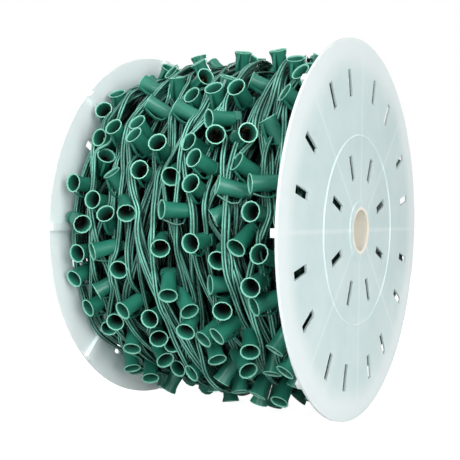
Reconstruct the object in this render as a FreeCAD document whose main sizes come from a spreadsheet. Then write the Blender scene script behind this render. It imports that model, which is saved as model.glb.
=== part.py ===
import FreeCAD, Part
import math
import os

import Sketcher
from FreeCAD import Matrix, Placement, Rotation, Vector

# A bulk reel of light-string line. A fibre core tube lies along X, a moulded flange sits on
# each end of it, and between the flanges lies the winding, which swells like a barrel: a twin
# cord that carries a lamp socket every few hundred millimetres. The origin is on the tube's
# axis, midway between the flanges, and +Z is up when the reel stands on its two rims.
os.makedirs("parts", exist_ok=True)
doc = FreeCAD.newDocument("wire_spool")

# Driving dimensions, in millimetres and degrees
sheet = doc.addObject("Spreadsheet::Sheet", "Sizes")
DIMENSIONS = [
    ("flange_radius", 200.0),
    ("flange_outer_plane", 128.0),
    ("flange_thickness", 2.4),
    ("rib_count", 8),
    ("rib_width", 8.0),
    ("rib_height", 4.5),
    ("rib_root", 1.0),
    ("rib_setback", 0.4),
    ("bead_radius", 100.5),
    ("bead_width", 3.0),
    ("bead_height", 1.0),
    ("bead_foot", 0.2),
    ("collar_radius", 32.0),
    ("collar_height", 1.0),
    ("sleeve_radius", 30.0),
    ("slot_width", 8.4),
    ("outer_slot_start", 141.5),
    ("outer_slot_end", 169.0),
    ("outer_slot_near_angle", 13.3),
    ("outer_slot_far_angle", 31.7),
    ("inner_slot_start", 56.5),
    ("inner_slot_end", 83.5),
    ("inner_slot_angle", 22.5),
    ("bore_radius", 22.0),
    ("tube_radius", 25.0),
    ("core_radius", 162.0),
    ("core_end_radius", 150.0),
    ("core_crown", 60.0),
    ("core_sides", 64),
    ("cord_side", 3.7),
    ("turns", 8),
    ("first_turn", 112.0),
    ("turn_wander", 2.0),
    ("wander_pace", 137.5),
    ("first_angle", 22.5),
    ("socket_spacing", 304.8),
    ("socket_start", 175.0),
    ("socket_count", 27),
    ("socket_groups", 9),
    ("socket_tilt", 12.0),
    ("tilt_pace", 131.8),
    ("end_zone", 25.0),
    ("seat_clearance", 0.15),
    ("socket_sides", 8),
    ("socket_radius", 8.0),
    ("socket_lip_radius", 9.6),
    ("socket_flare_start", 22.0),
    ("socket_top", 28.0),
    ("socket_floor", 6.0),
    ("socket_floor_radius", 6.3),
    ("socket_mouth_radius", 8.6),
    ("cap_length", 17.0),
    ("cap_width", 12.0),
    ("cap_corner_radius", 9.2),
    ("cap_floor", 2.0),
    ("channel_width", 5.6),
    ("channel_height", 5.4),
    ("strap_width", 2.6),
    ("strap_thickness", 1.2),
    ("strap_reach", 13.6),
    ("strap_foot", 3.9),
    ("strap_knee", 13.0),
    ("strap_end", 26.0),
    ("strap_root", 0.5),
    ("cut_allowance", 1.0),
    ("side_contact_width", 3.0),
    ("side_contact_height", 12.0),
    ("contact_thickness", 0.6),
    ("centre_contact_length", 5.0),
    ("centre_contact_height", 1.6),
]
for row, (alias, value) in enumerate(DIMENSIONS, start=1):
    sheet.set(f"A{row}", alias)
    sheet.set(f"B{row}", str(value))
    sheet.setAlias(f"B{row}", alias)
doc.recompute()


def size(alias):
    """The value of one cell of the sheet."""
    return float(sheet.get(alias))


# Sketches


def origin_plane(body, role):
    return next(item for item in body.Origin.OriginFeatures if item.Role == role)


def sketch_on(body, name, role, offset=None, turn=None):
    """A sketch on one of the body's own planes, moved along and turned about its normal."""
    sketch = body.newObject("Sketcher::SketchObject", name)
    sketch.AttachmentSupport = (origin_plane(body, role), [""])
    sketch.MapMode = "FlatFace"
    sketch.AttachmentOffset = Placement(Vector(), Rotation(Vector(0, 0, 1), 1.0 if turn else 0.0))
    if offset:
        sketch.setExpression("AttachmentOffset.Base.z", offset)
    if turn:
        sketch.setExpression("AttachmentOffset.Rotation.Angle", turn)
    return sketch


def bind_constraint(sketch, constraint, name, expression):
    index = sketch.addConstraint(constraint)
    sketch.renameConstraint(index, name)
    sketch.setExpression(f"Constraints.{name}", expression)


def add_circle(sketch, name, expression, start):
    circle = sketch.addGeometry(Part.Circle(Vector(), Vector(0, 0, 1), start))
    sketch.addConstraint(Sketcher.Constraint("Coincident", circle, 3, -1, 1))
    bind_constraint(sketch, Sketcher.Constraint("Radius", circle, start), name, expression)


def closed_outline(sketch, corners):
    """Straight lines from corner to corner and back to the first, each joined to the next."""
    lines = []
    for index, corner in enumerate(corners):
        following = corners[(index + 1) % len(corners)]
        lines.append(sketch.addGeometry(Part.LineSegment(corner, following)))
    for index, line in enumerate(lines):
        following = lines[(index + 1) % len(lines)]
        sketch.addConstraint(Sketcher.Constraint("Coincident", line, 2, following, 1))
    return lines


def bind_corner(sketch, line, name, corner, along, out):
    """Hold a line's first corner at two distances from the sketch's origin."""
    reach = Sketcher.Constraint("DistanceX", -1, 1, line, 1, corner.x)
    bind_constraint(sketch, reach, name + "_along", along)
    height = Sketcher.Constraint("DistanceY", -1, 1, line, 1, corner.y)
    bind_constraint(sketch, height, name + "_out", out)


def add_radial_bar(sketch, width, inner, outer):
    """A rectangle centred on the sketch's upright axis, between two distances from the middle."""
    corners = [Vector(-1, 2), Vector(1, 2), Vector(1, 4), Vector(-1, 4)]
    bottom, right, top, left = closed_outline(sketch, corners)
    sketch.addConstraint(Sketcher.Constraint("Symmetric", bottom, 1, bottom, 2, -2))
    sketch.addConstraint(Sketcher.Constraint("Vertical", right))
    sketch.addConstraint(Sketcher.Constraint("Horizontal", top))
    sketch.addConstraint(Sketcher.Constraint("Vertical", left))
    across = Sketcher.Constraint("DistanceX", bottom, 1, bottom, 2, 2.0)
    bind_constraint(sketch, across, "across", width)
    low = Sketcher.Constraint("DistanceY", -1, 1, bottom, 1, 2.0)
    bind_constraint(sketch, low, "inner", inner)
    high = Sketcher.Constraint("DistanceY", -1, 1, top, 1, 4.0)
    bind_constraint(sketch, high, "outer", outer)


def pad(body, name, sketch, length, inward=False):
    feature = body.newObject("PartDesign::Pad", name)
    feature.Profile = sketch
    feature.setExpression("Length", length)
    feature.Reversed = inward
    return feature


def revolve(body, name, sketch):
    feature = body.newObject("PartDesign::Revolution", name)
    feature.Profile = sketch
    feature.ReferenceAxis = (sketch, ["H_Axis"])
    feature.Angle = 360.0
    return feature


def polar_pattern(body, name, originals, count):
    pattern = body.newObject("PartDesign::PolarPattern", name)
    pattern.Originals = originals
    axis = next(item for item in body.Origin.OriginFeatures if item.Role == "X_Axis")
    pattern.Axis = (axis, [""])
    pattern.Angle = 360.0
    pattern.setExpression("Occurrences", count)
    body.Tip = pattern
    return pattern


# Flanges: thin moulded discs with eight ribs on the winding's side, two rings of slots, a
# raised bead half way out, and a collar and a sleeve round the tube


def bead_profile(body, name):
    """The bead's section: a low ridge whose foot lies just under the flange's face."""
    foot = size("flange_outer_plane") - size("bead_foot")
    peak = size("flange_outer_plane") + size("bead_height")
    radius = size("bead_radius")
    half = size("bead_width") / 2
    corners = [Vector(foot, radius - half), Vector(peak, radius), Vector(foot, radius + half)]
    sketch = sketch_on(body, name, "XY_Plane")
    lines = closed_outline(sketch, corners)
    foot_plane = "Sizes.flange_outer_plane - Sizes.bead_foot"
    peak_plane = "Sizes.flange_outer_plane + Sizes.bead_height"
    half_width = "Sizes.bead_width / 2"
    bind_corner(sketch, lines[0], "inside", corners[0], foot_plane, f"Sizes.bead_radius - {half_width}")
    bind_corner(sketch, lines[1], "peak", corners[1], peak_plane, "Sizes.bead_radius")
    bind_corner(sketch, lines[2], "outside", corners[2], foot_plane, f"Sizes.bead_radius + {half_width}")
    return sketch


def make_flange(label):
    body = doc.addObject("PartDesign::Body", label)
    body.Label = label
    outer_plane = "Sizes.flange_outer_plane"
    inner_plane = "Sizes.flange_outer_plane - Sizes.flange_thickness"

    disc = sketch_on(body, label + "_disc_outline", "YZ_Plane", outer_plane)
    add_circle(disc, "rim", "Sizes.flange_radius", 200.0)
    add_circle(disc, "hole", "Sizes.tube_radius", 25.0)
    pad(body, label + "_disc", disc, "Sizes.flange_thickness", inward=True)

    revolve(body, label + "_bead", bead_profile(body, label + "_bead_profile"))

    collar = sketch_on(body, label + "_collar_outline", "YZ_Plane", outer_plane)
    add_circle(collar, "outside", "Sizes.collar_radius", 32.0)
    add_circle(collar, "inside", "Sizes.tube_radius", 25.0)
    pad(body, label + "_collar", collar, "Sizes.collar_height")

    sleeve = sketch_on(body, label + "_sleeve_outline", "YZ_Plane", inner_plane)
    add_circle(sleeve, "outside", "Sizes.sleeve_radius", 30.0)
    add_circle(sleeve, "inside", "Sizes.tube_radius", 25.0)
    pad(body, label + "_sleeve", sleeve, "Sizes.rib_height", inward=True)

    rib = sketch_on(body, label + "_rib_outline", "YZ_Plane", inner_plane)
    rib_start = "Sizes.sleeve_radius - Sizes.rib_root"
    rib_end = "Sizes.flange_radius - Sizes.rib_setback"
    add_radial_bar(rib, "Sizes.rib_width", rib_start, rib_end)
    first_rib = pad(body, label + "_rib", rib, "Sizes.rib_height", inward=True)
    doc.recompute()
    polar_pattern(body, label + "_ribs", [first_rib], "Sizes.rib_count")

    slots = []
    for name, start, end, angle in (
        ("near_slot", "outer_slot_start", "outer_slot_end", "outer_slot_near_angle"),
        ("far_slot", "outer_slot_start", "outer_slot_end", "outer_slot_far_angle"),
        ("inner_slot", "inner_slot_start", "inner_slot_end", "inner_slot_angle"),
    ):
        outline = sketch_on(body, f"{label}_{name}_outline", "YZ_Plane", outer_plane, "Sizes." + angle)
        add_radial_bar(outline, "Sizes.slot_width", "Sizes." + start, "Sizes." + end)
        slot = body.newObject("PartDesign::Pocket", f"{label}_{name}")
        slot.Profile = outline
        slot.setExpression("Length", "Sizes.flange_thickness + Sizes.cut_allowance")
        slots.append(slot)
    doc.recompute()
    polar_pattern(body, label + "_slots", slots, "Sizes.rib_count")
    return body


flange_right = make_flange("flange_right")
flange_left = make_flange("flange_left")
flange_left.Placement = Placement(Vector(), Rotation(Vector(0, 0, 1), 180))


# Core tube: a spiral-wound fibre tube that carries both flanges and is the reel's bore


def make_cylinder(name, radius, half_length):
    cylinder = doc.addObject("Part::Cylinder", name)
    cylinder.setExpression("Radius", radius)
    cylinder.setExpression("Height", f"2 * ({half_length})")
    cylinder.Placement = Placement(Vector(), Rotation(Vector(0, 1, 0), 90))
    cylinder.setExpression("Placement.Base.x", f"-({half_length})")
    return cylinder


core_tube = doc.addObject("Part::Cut", "core_tube")
core_tube.Label = "core_tube"
tube_end = "Sizes.flange_outer_plane + Sizes.collar_height"
core_tube.Base = make_cylinder("core_tube_outside", "Sizes.tube_radius", tube_end)
core_tube.Tool = make_cylinder("core_tube_inside", "Sizes.bore_radius", tube_end)


# Winding core: the buried layers of cord, from one flange's ribs to the other's. It is a plain
# barrel of many flat sides, level in the middle and falling towards both flanges


def make_faceted_turning(name, sides, profile):
    """A turned form with flat sides about Z. The profile's radii and heights go from the middle
    of its base, over its outside, to the middle of its last face."""
    angles = [math.pi * (2 * side + 1) / sides for side in range(sides)]
    rings = [
        [Vector(radius * math.cos(angle), radius * math.sin(angle), height) for angle in angles]
        for radius, height in profile
    ]
    faces = [Part.Face(Part.makePolygon(ring + ring[:1])) for ring in (rings[0], rings[-1])]
    for low, high in zip(rings, rings[1:]):
        for side in range(sides):
            following = (side + 1) % sides
            corners = [low[side], low[following], high[following], high[side], low[side]]
            faces.append(Part.Face(Part.makePolygon(corners)))
    solid = Part.Solid(Part.Shell(faces))
    if solid.Volume < 0:
        solid.reverse()
    turning = doc.addObject("Part::Feature", name)
    turning.Shape = solid
    turning.Placement = Placement()
    return turning


def core_half_length():
    return size("flange_outer_plane") - size("flange_thickness") - size("rib_height")


def core_surface(x):
    """The core's radius at a place along the reel, and how far its surface leans to +X."""
    fall = size("core_radius") - size("core_end_radius")
    slope = fall / (core_half_length() - size("core_crown"))
    beyond = max(0.0, abs(x) - size("core_crown"))
    lean = math.atan(slope) if beyond else 0.0
    return size("core_radius") - slope * beyond, math.copysign(lean, x)


winding_core = doc.addObject("Part::Cut", "winding_core")
winding_core.Label = "winding_core"
core_places = (-core_half_length(), -size("core_crown"), size("core_crown"), core_half_length())
core_profile = [(core_surface(x)[0], x) for x in core_places]
core_barrel = make_faceted_turning("winding_core_barrel", int(size("core_sides")), core_profile)
core_barrel.Placement = Placement(Vector(), Rotation(Vector(0, 1, 0), 90))
winding_core.Base = core_barrel
winding_core.Tool = make_cylinder("winding_core_inside", "Sizes.sleeve_radius", "Sizes.flange_outer_plane")


# Outer turns: one unbroken length of cord, whose square section has the area of the flat twin
# cord and turns slowly as it winds. It leaves the left flange square to it, bends into the
# first turn, crosses the core and ends square on the right flange.


def arc_from(start, tangent, end):
    """The arc that leaves a point along a tangent and ends at another point."""
    chord = end - start
    along = chord.normalize()
    length = (end - start).Length
    half_turn = math.acos(max(-1.0, min(1.0, tangent.dot(along))))
    bulge = tangent - along * tangent.dot(along)
    middle = (start + end) * 0.5
    if bulge.Length < 1e-7:
        return Part.LineSegment(start, end).toShape()
    middle = middle + bulge.normalize() * (length / 2 * math.tan(half_turn / 2))
    return Part.Arc(start, middle, end).toShape()


def biarc(start, start_tangent, end, end_tangent):
    """Two arcs that share a tangent, from one point and direction to another."""
    across = end - start
    both = start_tangent + end_tangent
    spread = 2 * (1 - start_tangent.dot(end_tangent))
    reach = across.dot(both)
    step = (math.sqrt(reach * reach + spread * across.dot(across)) - reach) / spread
    joint = (start + start_tangent * step + end - end_tangent * step) * 0.5
    first = arc_from(start, start_tangent, joint)
    last = arc_from(joint, first.tangentAt(first.LastParameter), end)
    return [first, last]


def cord_seat():
    """How far the cord's middle stands off the core: a tilted cap's lower edge rests on it."""
    tilt = math.radians(size("socket_tilt"))
    depth = size("channel_height") / 2 + size("cap_floor")
    cap_edge = size("cap_length") / 2
    return depth * math.cos(tilt) + cap_edge * math.sin(tilt) + size("seat_clearance")


def cord_radius(x):
    """The distance of the cord's middle from the reel's axis, at a place along the reel."""
    radius, lean = core_surface(x)
    return radius + cord_seat() / math.cos(lean)


def cord_diagonal():
    return math.sqrt(2) * size("cord_side")


def winding_path():
    """The cord's centre line as edges in order, from the left flange to the right one."""
    inner_face = size("flange_outer_plane") - size("flange_thickness")
    straight = cord_diagonal()
    bend = inner_face - size("first_turn") - straight
    quarters = 4 * int(size("turns"))
    first = math.radians(size("first_angle"))

    def place_along(quarter):
        run = 2 * size("first_turn") * quarter / quarters
        wander = size("turn_wander") * math.sin(math.radians(size("wander_pace")) * quarter)
        return -size("first_turn") + run + (wander if 0 < quarter < quarters else 0.0)

    def place(quarter):
        angle = first + quarter * math.pi / 2
        x = place_along(quarter)
        return Vector(x, cord_radius(x) * math.cos(angle), cord_radius(x) * math.sin(angle))

    def heading(quarter):
        angle = first + quarter * math.pi / 2
        before = place_along(quarter - 1)
        after = place_along(quarter + 1)
        outward = Vector(0, math.cos(angle), math.sin(angle))
        forward = Vector(0, -math.sin(angle), math.cos(angle)) * cord_radius(place_along(quarter))
        drift = Vector(1, 0, 0) * (after - before) + outward * (cord_radius(after) - cord_radius(before))
        return (forward + drift * (1 / math.pi)).normalize()

    along = Vector(1, 0, 0)
    start_heading = Vector(0, -math.sin(first), math.cos(first))
    start_bend = place(0) - start_heading * bend
    start_bend.x = -inner_face + straight
    start_face = Vector(-inner_face, start_bend.y, start_bend.z)
    edges = [Part.LineSegment(start_face, start_bend).toShape()]
    edges.append(arc_from(start_bend, along, place(0)))

    points = [(place(0), start_heading)]
    points += [(place(quarter), heading(quarter)) for quarter in range(1, quarters)]
    last = first + quarters * math.pi / 2
    end_heading = Vector(0, -math.sin(last), math.cos(last))
    points.append((place(quarters), end_heading))
    for (start, start_tangent), (end, end_tangent) in zip(points, points[1:]):
        edges += biarc(start, start_tangent, end, end_tangent)

    end_bend = place(quarters) + end_heading * bend
    end_bend.x = inner_face - straight
    edges.append(arc_from(place(quarters), end_heading, end_bend))
    end_face = Vector(inner_face, end_bend.y, end_bend.z)
    edges.append(Part.LineSegment(end_bend, end_face).toShape())
    return edges


def make_outer_turns(edges):
    start = edges[0].Vertexes[0].Point
    outward = Vector(0, start.y, start.z).normalize()
    sideways = Vector(1, 0, 0).cross(outward)
    half_width = sideways * (size("cord_side") / 2)
    half_thickness = outward * (size("cord_side") / 2)
    corners = [
        start + half_width + half_thickness,
        start - half_width + half_thickness,
        start - half_width - half_thickness,
        start + half_width - half_thickness,
    ]
    section = Part.makePolygon(corners + corners[:1])
    feature = doc.addObject("Part::Feature", "outer_turns")
    feature.Shape = Part.Wire(edges).makePipeShell([section], True, False)
    feature.Label = "outer_turns"
    feature.Placement = Placement()
    return feature


def report_least_gap(edges):
    """Print the cord's length and the least gap between its turns, from points along it."""
    length = sum(edge.Length for edge in edges)
    points = []
    for edge in edges:
        count = max(2, int(edge.Length / size("cord_side")))
        points += edge.discretize(count + 1)[:-1]
    spacing = length / len(points)
    quarter_turn = int(size("core_end_radius") * math.pi / 2 / spacing)
    pitch = 2 * size("first_turn") / size("turns")
    least = min(
        (points[one] - points[other]).Length
        for one in range(len(points))
        for other in range(one + quarter_turn, len(points))
        if abs(points[one].x - points[other].x) < pitch
    )
    print(f"outer turns: length {length:.0f} mm, least gap {least - cord_diagonal():.2f} mm")


path_edges = winding_path()
outer_turns = make_outer_turns(path_edges)
report_least_gap(path_edges)


# Lamp socket, as one set of pieces whose cord runs along Y at the origin and whose mouth
# faces +Z: a moulded body with its strap, a cap under the cord and two brass contacts


def make_box(name, length, width, height, base):
    box = doc.addObject("Part::Box", name)
    box.setExpression("Length", length)
    box.setExpression("Width", width)
    box.setExpression("Height", height)
    for axis, expression in zip("xyz", base):
        box.setExpression(f"Placement.Base.{axis}", expression)
    return box


def make_strap(name):
    """The thin strap that bows out from the mouth's rim and comes back to the socket's foot."""
    wall = size("socket_radius") * math.cos(math.pi / size("socket_sides")) - size("strap_root")
    flare = size("socket_lip_radius") - size("socket_radius")
    middle = [
        Vector(0, wall, size("strap_foot")),
        Vector(0, size("strap_reach"), size("strap_knee")),
        Vector(0, wall + flare / 2, size("strap_end")),
    ]
    half = size("strap_thickness") / 2
    outside = []
    inside = []
    for index, point in enumerate(middle):
        before = middle[max(index - 1, 0)]
        after = middle[min(index + 1, len(middle) - 1)]
        direction = (after - before).normalize()
        normal = Vector(0, direction.z, -direction.y) * half
        outside.append(point + normal)
        inside.append(point - normal)
    outline = Part.makePolygon(outside + inside[::-1] + outside[:1])
    width = size("strap_width")
    outline.translate(Vector(-width / 2, 0, 0))
    strap = doc.addObject("Part::Feature", name)
    strap.Shape = Part.Face(outline).extrude(Vector(width, 0, 0))
    strap.Placement = Placement()
    return strap


def make_socket_body():
    cup = make_faceted_turning("socket_cup", int(size("socket_sides")), [
        (size("socket_radius"), size("channel_height") / 2),
        (size("socket_radius"), size("socket_flare_start")),
        (size("socket_lip_radius"), size("socket_top")),
        (size("socket_mouth_radius"), size("socket_top")),
        (size("socket_floor_radius"), size("socket_floor")),
    ])
    body = doc.addObject("Part::Fuse", "socket_body")
    body.Base = cup
    body.Tool = make_strap("socket_strap")
    return body


def make_socket_cap():
    depth = "Sizes.channel_height / 2 + Sizes.cap_floor"
    block = make_box(
        "cap_block", "Sizes.cap_length", "Sizes.cap_width", f"{depth} + Sizes.channel_height / 2",
        ("-Sizes.cap_length / 2", "-Sizes.cap_width / 2", f"-({depth})"),
    )
    rounding = doc.addObject("Part::Prism", "cap_rounding")
    rounding.Polygon = int(size("socket_sides"))
    rounding.setExpression("Circumradius", "Sizes.cap_corner_radius")
    rounding.setExpression("Height", f"{depth} + Sizes.channel_height / 2")
    rounding.Placement = Placement(Vector(), Rotation(Vector(0, 0, 1), 180 / size("socket_sides")))
    rounding.setExpression("Placement.Base.z", f"-({depth})")
    blank = doc.addObject("Part::Common", "cap_blank")
    blank.Base = block
    blank.Tool = rounding
    channel_length = "Sizes.cap_width + 2 * Sizes.cut_allowance"
    channel = make_box(
        "cap_channel", "Sizes.channel_width", channel_length, "Sizes.channel_height",
        ("-Sizes.channel_width / 2", f"-({channel_length}) / 2", "-Sizes.channel_height / 2"),
    )
    cap = doc.addObject("Part::Cut", "socket_cap")
    cap.Base = blank
    cap.Tool = channel
    return cap


def make_side_contact():
    wall = "(Sizes.socket_floor_radius * cos(180 / Sizes.socket_sides) - Sizes.seat_clearance)"
    return make_box(
        "side_contact", "Sizes.side_contact_width", "Sizes.contact_thickness",
        "Sizes.side_contact_height",
        ("-Sizes.side_contact_width / 2", f"-{wall}", "Sizes.socket_floor"),
    )


def make_centre_contact():
    return make_box(
        "centre_contact", "Sizes.side_contact_width", "Sizes.centre_contact_length",
        "Sizes.centre_contact_height",
        ("-Sizes.side_contact_width / 2", "-Sizes.centre_contact_length / 2", "Sizes.socket_floor"),
    )


def place_on_cord(edges, distance):
    """A point on the cord's centre line and its direction there, by distance along it."""
    for edge in edges:
        if distance <= edge.Length:
            parameter = edge.getParameterByLength(distance)
            return edge.valueAt(parameter), edge.tangentAt(parameter)
        distance -= edge.Length
    raise ValueError("beyond the end of the cord")


def standing_frame(point, along, lean):
    """A frame whose Y runs along the cord and whose Z stands off the core's surface."""
    outward = Vector(0, point.y, point.z).normalize() * math.cos(lean) + Vector(math.sin(lean), 0, 0)
    outward = (outward - along * outward.dot(along)).normalize()
    side = along.cross(outward)
    return side, Placement(Matrix(
        side.x, along.x, outward.x, point.x,
        side.y, along.y, outward.y, point.y,
        side.z, along.z, outward.z, point.z,
        0, 0, 0, 1,
    ))


def socket_placement(edges, number):
    """Where one socket sits on the cord: mouth outward, tilted about the cord."""
    point, along = place_on_cord(edges, size("socket_start") + size("socket_spacing") * number)
    side, frame = standing_frame(point, along, core_surface(point.x)[1])
    near_end = abs(point.x) > size("first_turn") - size("end_zone")
    leans_right = point.x < 0 if near_end else math.sin(math.radians(size("tilt_pace")) * number) > 0
    tilt = size("socket_tilt") if leans_right == (side.x > 0) else -size("socket_tilt")
    return frame.multiply(Placement(Vector(), Rotation(Vector(0, 1, 0), tilt)))


def make_group(label, master, placements):
    solids = []
    for placement in placements:
        solid = master.Shape.copy()
        solid.Placement = placement.multiply(master.Shape.Placement)
        solids.append(solid)
    group = doc.addObject("Part::Feature", label)
    group.Shape = Part.makeCompound(solids)
    group.Label = label
    group.Placement = Placement()
    return group


socket_body = make_socket_body()
socket_cap = make_socket_cap()
side_contact = make_side_contact()
centre_contact = make_centre_contact()
doc.recompute()

socket_nodes = []
per_group = int(size("socket_count") / size("socket_groups"))
for group in range(int(size("socket_groups"))):
    numbers = range(group * per_group, (group + 1) * per_group)
    placements = [socket_placement(path_edges, number) for number in numbers]
    for name, master in (
        ("socket_bodies", socket_body),
        ("socket_caps", socket_cap),
        ("side_contacts", side_contact),
        ("centre_contacts", centre_contact),
    ):
        socket_nodes.append(make_group(f"{name}_{group + 1}", master, placements))

# Check every object, then write each piece
nodes = [flange_right, flange_left, core_tube, winding_core, outer_turns] + socket_nodes
doc.recompute()
for item in doc.Objects:
    if "Invalid" in item.State or "Error" in item.State:
        raise RuntimeError(f"{item.Label} failed: {item.State}")
for node in nodes:
    if node.Shape.isNull() or not node.Shape.isValid():
        raise RuntimeError(f"{node.Label} is not a valid shape")
cord_volume = size("cord_side") ** 2 * sum(edge.Length for edge in path_edges)
print(f"outer turns: volume {outer_turns.Shape.Volume:.0f}, section by length {cord_volume:.0f} mm3")
for node in nodes:
    node.Shape.exportStep(f"parts/{node.Label}.step")
print(f"wrote {len(nodes)} pieces")
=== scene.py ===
import math

import bpy
import numpy as np
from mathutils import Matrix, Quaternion, Vector


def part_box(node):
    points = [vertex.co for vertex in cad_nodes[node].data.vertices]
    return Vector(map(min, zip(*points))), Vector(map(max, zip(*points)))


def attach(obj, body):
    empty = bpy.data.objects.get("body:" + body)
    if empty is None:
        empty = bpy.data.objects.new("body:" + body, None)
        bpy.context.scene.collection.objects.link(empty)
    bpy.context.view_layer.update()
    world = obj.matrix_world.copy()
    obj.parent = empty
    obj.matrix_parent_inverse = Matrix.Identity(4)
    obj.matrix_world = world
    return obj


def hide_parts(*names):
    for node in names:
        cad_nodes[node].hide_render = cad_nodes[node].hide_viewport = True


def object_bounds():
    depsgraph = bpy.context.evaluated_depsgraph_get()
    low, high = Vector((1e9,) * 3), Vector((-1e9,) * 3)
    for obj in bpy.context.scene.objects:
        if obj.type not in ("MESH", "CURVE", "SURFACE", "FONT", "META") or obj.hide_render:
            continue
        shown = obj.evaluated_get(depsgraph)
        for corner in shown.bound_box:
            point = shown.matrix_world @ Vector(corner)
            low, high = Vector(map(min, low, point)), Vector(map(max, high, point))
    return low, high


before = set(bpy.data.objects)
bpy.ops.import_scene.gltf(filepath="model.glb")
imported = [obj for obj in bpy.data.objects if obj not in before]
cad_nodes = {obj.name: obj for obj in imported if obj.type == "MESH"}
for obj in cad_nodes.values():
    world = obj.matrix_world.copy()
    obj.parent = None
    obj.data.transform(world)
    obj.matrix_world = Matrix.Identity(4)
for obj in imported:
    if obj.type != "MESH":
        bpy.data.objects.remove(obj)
cad_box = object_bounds()

# Core tube. A thick spiral-wound fibre tube in a pale cream, whose bore takes the arbor.
# It carries both flanges, and only its inner wall and its two cut ends show.
fibre_dark = (0.84, 0.81, 0.70)
fibre_pale = (0.92, 0.89, 0.80)


def add_node(tree, kind, inputs, **settings):
    """A node with its settings. Each of its inputs is set to a value, or joined to a link or
    to another node's first output."""
    node = tree.nodes.new(kind)
    for label, value in settings.items():
        setattr(node, label, value)
    for label, value in inputs.items():
        if isinstance(value, bpy.types.Node):
            value = value.outputs[0]
        if isinstance(value, bpy.types.NodeSocket):
            tree.links.new(value, node.inputs[label])
        else:
            node.inputs[label].default_value = value
    return node


def start_material(name, roughness):
    """A material with its node tree, its shader and the object's own coordinates."""
    material = bpy.data.materials.new(name)
    material.use_nodes = True
    tree = material.node_tree
    shader = tree.nodes["Principled BSDF"]
    shader.inputs["Roughness"].default_value = roughness
    return material, tree, shader, add_node(tree, "ShaderNodeTexCoord", {}).outputs["Object"]


def add_noise(tree, vector, scale, detail, roughness=0.5):
    return add_node(tree, "ShaderNodeTexNoise", {
        "Vector": vector, "Scale": scale, "Detail": detail, "Roughness": roughness,
    }).outputs["Fac"]


def add_math(tree, operation, *values):
    return add_node(
        tree, "ShaderNodeMath", dict(enumerate(values)), operation=operation).outputs[0]


def add_ramp(tree, factor, low, high, low_colour, high_colour):
    """A colour that passes from one to another while a number rises from low to high."""
    ramp = add_node(tree, "ShaderNodeValToRGB", {"Fac": factor})
    first, last = ramp.color_ramp.elements
    first.position, last.position = low, high
    first.color, last.color = (*low_colour, 1), (*high_colour, 1)
    return ramp.outputs["Color"]


def add_bump(tree, shader, height, strength, distance):
    bump = add_node(tree, "ShaderNodeBump", {
        "Height": height, "Strength": strength, "Distance": distance})
    tree.links.new(bump.outputs["Normal"], shader.inputs["Normal"])


def dress(node, material):
    """Gives a node of the solid part its material."""
    node.data.materials.clear()
    node.data.materials.append(material)


fibre, fibre_tree, fibre_shader, fibre_place = start_material("core_fibre", roughness=0.75)
fibre_mottle = add_noise(fibre_tree, fibre_place, scale=60, detail=6)
fibre_tree.links.new(
    add_ramp(fibre_tree, fibre_mottle, 0.3, 0.7, fibre_dark, fibre_pale),
    fibre_shader.inputs["Base Color"])
fibre_grain = add_noise(fibre_tree, fibre_place, scale=900, detail=4)
add_bump(fibre_tree, fibre_shader, fibre_grain, strength=0.4, distance=0.0004)
dress(cad_nodes["core_tube"], fibre)


# Flanges. Two thin discs moulded in a milky, slightly cool plastic, each pressed on an end of
# the tube. Ribs on the winding's side and the bead outside show as paler lines in the sheet.
# Within its paler rim the sheet carries painted shade, darker where the winding lies behind it.
rib_count = 8
rib_line_half_width = 0.0016
rib_line_strength = 0.36
shade_inner_radius = 0.168
shade_outer_radius = 0.200
shade_raggedness = 0.020
# Painted shade: inside its rim the sheet is coloured darker, with a random mottle, where the
# winding lies behind it.
shaded_cloud_dark = (0.57, 0.71, 0.71)
shaded_cloud_pale = (0.66, 0.785, 0.785)
rim_colour = (0.79, 0.87, 0.87)
rib_colour = (0.82, 0.89, 0.89)

milky, milky_tree, milky_shader, milky_place = start_material("flange_plastic", roughness=0.38)
milky_parts = add_node(milky_tree, "ShaderNodeSeparateXYZ", {0: milky_place}).outputs
across, upward = milky_parts["Y"], milky_parts["Z"]
from_axis = add_math(
    milky_tree, "SQRT",
    add_math(milky_tree, "ADD", add_math(milky_tree, "MULTIPLY", across, across),
             add_math(milky_tree, "MULTIPLY", upward, upward)),
)
turn = add_math(milky_tree, "ARCTAN2", across, upward)
off_rib = add_math(milky_tree, "PINGPONG", turn, math.pi / rib_count)
off_rib_line = add_math(milky_tree, "MULTIPLY", from_axis, add_math(milky_tree, "SINE", off_rib))


def add_smooth_step(tree, value, start, end):
    """A number that rises smoothly from 0 to 1 between two values."""
    return add_node(tree, "ShaderNodeMapRange", {
        "Value": value, "From Min": start, "From Max": end,
    }, interpolation_type="SMOOTHSTEP").outputs["Result"]


def add_mix(tree, factor, first, second):
    """A colour between two, each a colour or a link."""
    first, second = [(*end, 1) if isinstance(end, tuple) else end for end in (first, second)]
    return add_node(tree, "ShaderNodeMix", {
        "Factor": factor, "A": first, "B": second}, data_type="RGBA").outputs["Result"]


# Painted shade of the winding behind the sheet, mottled at random, giving way raggedly to the
# paler rim.
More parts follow.
